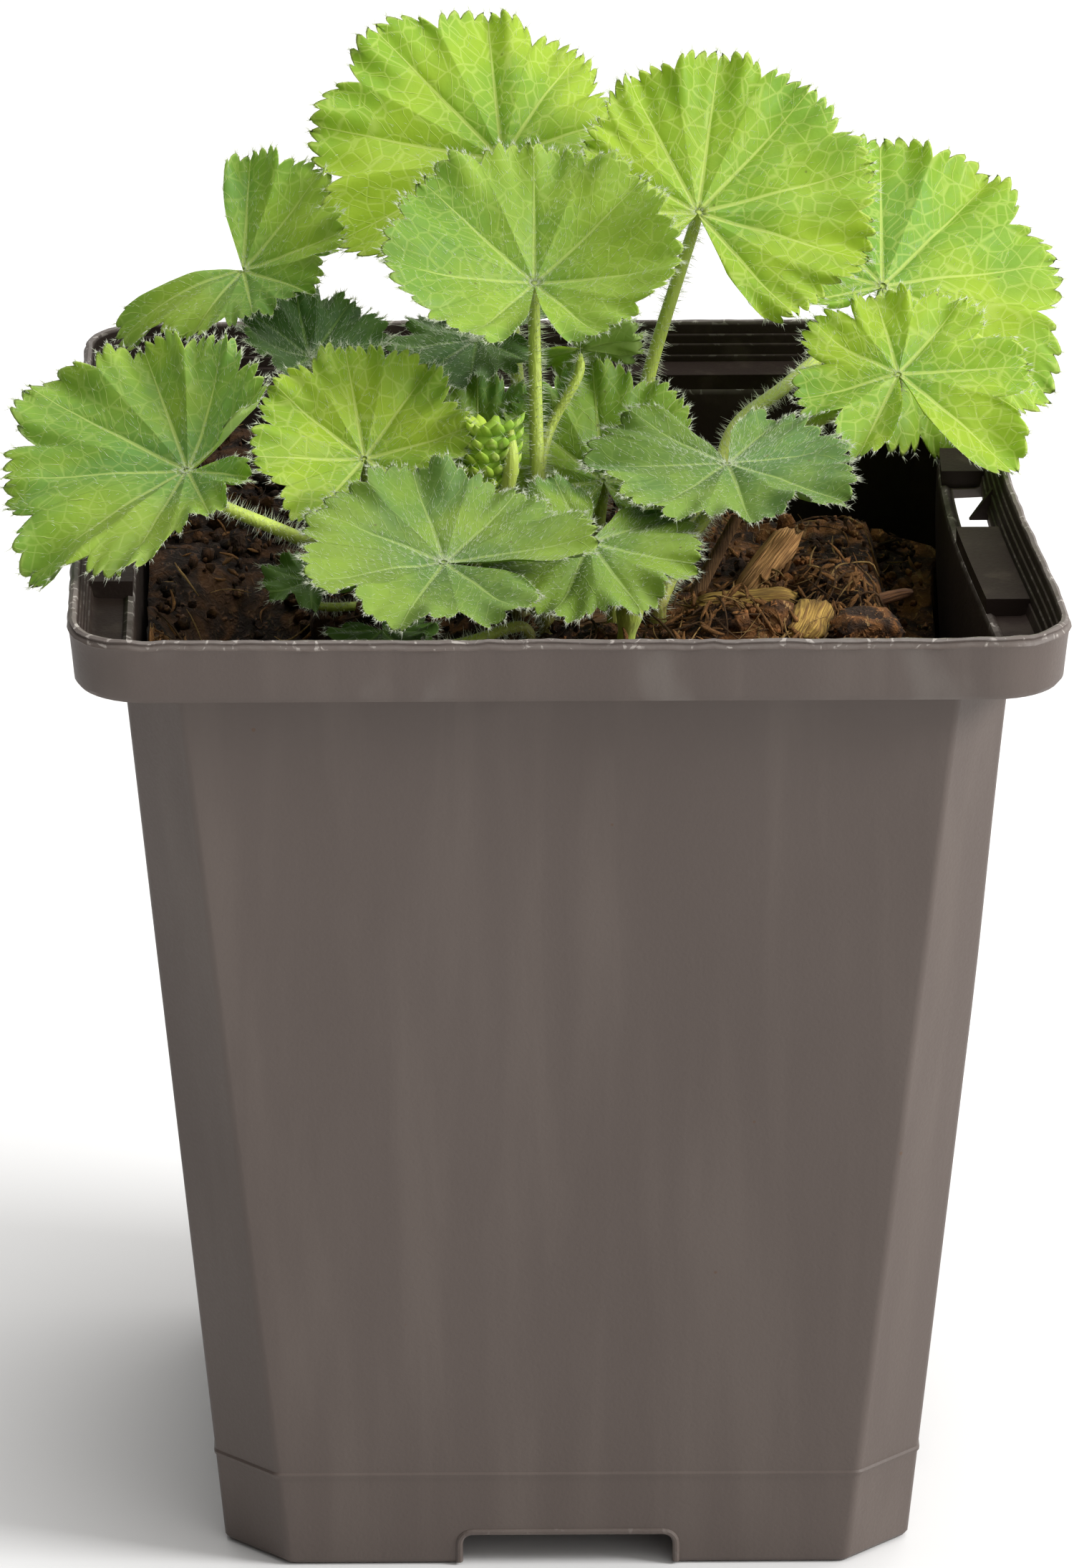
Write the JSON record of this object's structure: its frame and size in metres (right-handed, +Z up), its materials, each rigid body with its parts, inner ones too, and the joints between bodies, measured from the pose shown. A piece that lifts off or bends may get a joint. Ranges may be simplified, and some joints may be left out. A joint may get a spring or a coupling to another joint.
{
  "type": "potted alchemilla",
  "caption": "Soft-leaved perennial with round pleated scalloped leaves on hairy stalks, growing in a square tapered nursery pot with an upright collar.",
  "frame": {"origin": "on the ground, under the centre of the overall box", "axes": "+Z up through the pot, -Y the side the clump is seen from, +X to its right"},
  "size_m": [0.119, 0.11, 0.158],
  "materials": {
    "pot_plastic": "taupe grey recycled polypropylene, semi-matt, faint vertical flow streaks",
    "compost": "moist brown peat compost with fibres",
    "crown": "brown woody rootstock",
    "leaf": "soft downy yellow-green leaf",
    "leaf_shade": "darker green leaf low in the clump",
    "leaf_young": "bright yellow-green young leaf, still pleated",
    "stalk": "pale green hairy leaf stalk",
    "bark": "tan bark chip",
    "dead_stalk": "dry brown stalk"
  },
  "bodies": {
    "root": {"pot": "pot_plastic", "compost": "compost", "crown": "crown", "leaf_back_left_blade": "leaf", "leaf_back_left_stalk": "stalk", "leaf_top_middle_blade": "leaf", "leaf_top_middle_stalk": "stalk", "leaf_back_right_blade": "leaf", "leaf_back_right_stalk": "stalk", "leaf_far_right_blade": "leaf", "leaf_far_right_stalk": "stalk", "leaf_right_blade": "leaf", "leaf_right_stalk": "stalk", "leaf_front_right_blade": "leaf", "leaf_front_right_stalk": "stalk", "leaf_middle_blade": "leaf", "leaf_middle_stalk": "stalk", "leaf_front_middle_blade": "leaf", "leaf_front_middle_stalk": "stalk", "leaf_front_left_blade": "leaf", "leaf_front_left_stalk": "stalk", "leaf_left_middle_blade": "leaf", "leaf_left_middle_stalk": "stalk", "leaf_left_blade": "leaf", "leaf_left_stalk": "stalk", "leaf_far_left_blade": "leaf", "leaf_far_left_stalk": "stalk", "leaf_shaded_left_blade": "leaf_shade", "leaf_shaded_left_stalk": "stalk", "leaf_shaded_middle_blade": "leaf_shade", "leaf_shaded_middle_stalk": "stalk", "leaf_shaded_right_blade": "leaf_shade", "leaf_shaded_right_stalk": "stalk", "leaf_inner_blade": "leaf", "leaf_inner_stalk": "stalk", "leaf_young_blade": "leaf_young", "leaf_young_stalk": "stalk", "leaf_low_left_blade": "leaf_shade", "leaf_low_left_stalk": "stalk", "leaf_low_front_blade": "leaf_shade", "leaf_low_front_stalk": "stalk", "bark_long": "bark", "bark_flat": "bark", "bark_small": "bark", "fibre_bundle": "bark", "dry_twig": "bark", "peat_lump": "compost", "cut_stalk": "stalk", "dry_stalk": "dead_stalk"}
  },
  "joints": []
}
